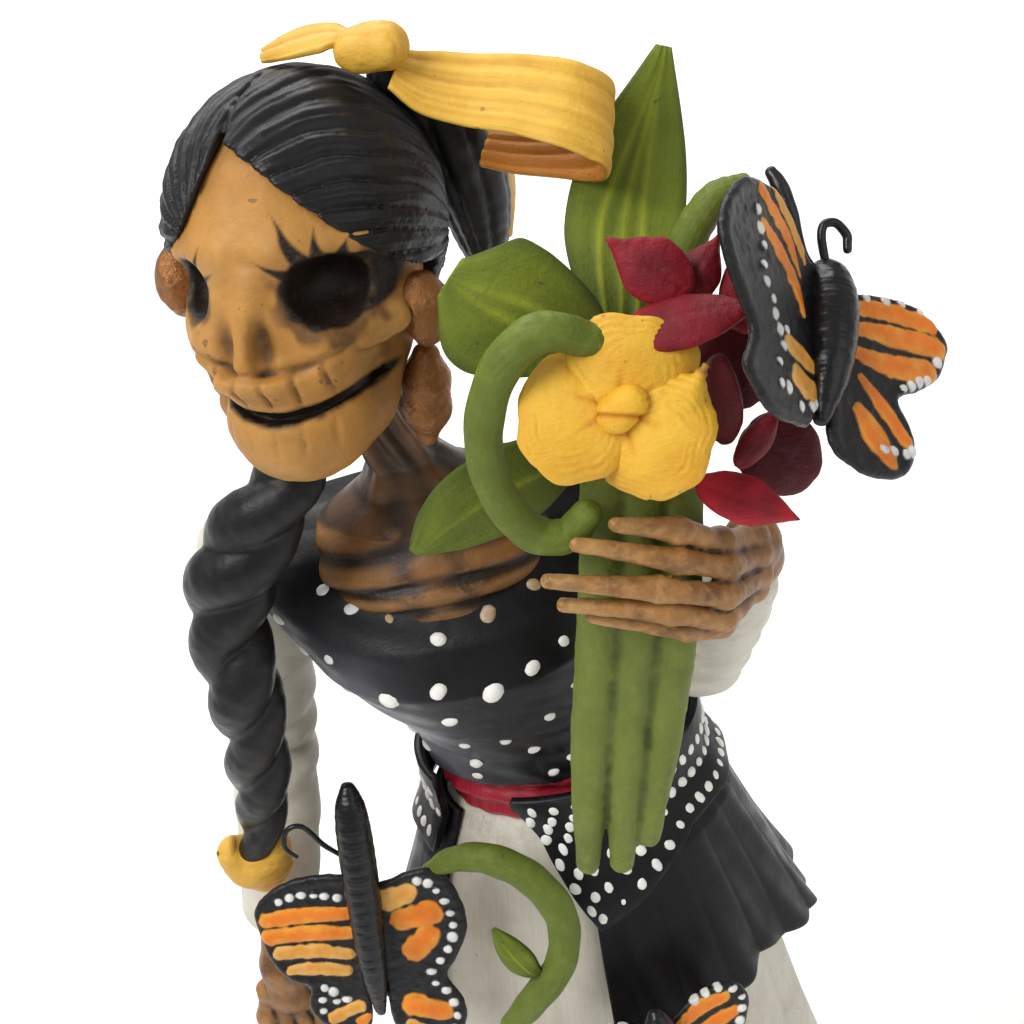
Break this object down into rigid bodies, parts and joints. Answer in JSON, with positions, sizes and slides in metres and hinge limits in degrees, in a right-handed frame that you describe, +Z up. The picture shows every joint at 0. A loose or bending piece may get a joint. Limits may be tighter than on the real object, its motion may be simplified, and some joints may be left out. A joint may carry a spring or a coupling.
{
  "type": "papier-mache catrina figure",
  "caption": "Standing papier-mache skeleton lady with a ribboned braid, ear drops, dotted tunic, long skirt, bouquet and butterflies.",
  "frame": {"origin": "middle of the base disc's underside", "axes": "+Z up, +X to the figure's left, -Y the way the figure faces"},
  "size_m": [0.1864, 0.168, 0.4332],
  "materials": {
    "card": "matt",
    "steel": "drawn wire",
    "cream": "matt paint",
    "black": "satin paint",
    "bone": "matt paint with a brown wash",
    "yellow": "satin paint",
    "red": "satin paint",
    "green": "satin paint",
    "orange": "satin paint",
    "copper": "metallic paint"
  },
  "bodies": {
    "root": {"arm_wire": "steel", "base_disc": "card", "bodice": "black", "bow_knot": "yellow", "bow_loop_left": "yellow", "bow_loop_right": "yellow", "bow_tail": "yellow", "braid": "black", "braid_ribbon": "yellow", "chest": "bone", "earring_drop_left": "copper", "earring_drop_right": "copper", "earring_stud_left": "copper", "earring_stud_right": "copper", "flower_butterfly_antenna_left": "black", "flower_butterfly_antenna_right": "black", "flower_butterfly_body": "black", "flower_butterfly_wing_left": "orange", "flower_butterfly_wing_right": "orange", "hair_cap": "black", "hair_fall": "black", "hand_left": "bone", "hand_right": "bone", "hip_butterfly_antenna_left": "black", "hip_butterfly_body": "black", "hip_butterfly_wing_left": "orange", "hip_butterfly_wing_right": "orange", "leaf_low": "green", "leaf_side": "green", "leaf_tall": "green", "low_butterfly_body": "black", "low_butterfly_wings": "orange", "overskirt": "black", "red_bud": "red", "red_petal_back": "red", "red_petal_cone": "red", "red_petal_front": "red", "red_petal_inner": "red", "red_petal_left": "red", "red_petal_lens": "red", "red_petal_outer": "red", "red_petal_right": "red", "sash": "red", "skirt_leaf": "green", "skirt_tendril": "green", "skull": "bone", "sleeve_left": "cream", "sleeve_right": "cream", "spine_wire": "steel", "stem_1": "green", "stem_2": "green", "stem_3": "green", "tendril_back": "green", "tendril_front": "green", "tunic_hem": "black", "underskirt": "cream", "yellow_bud": "yellow", "yellow_petal_1": "yellow", "yellow_petal_2": "yellow", "yellow_petal_3": "yellow"}
  },
  "joints": []
}
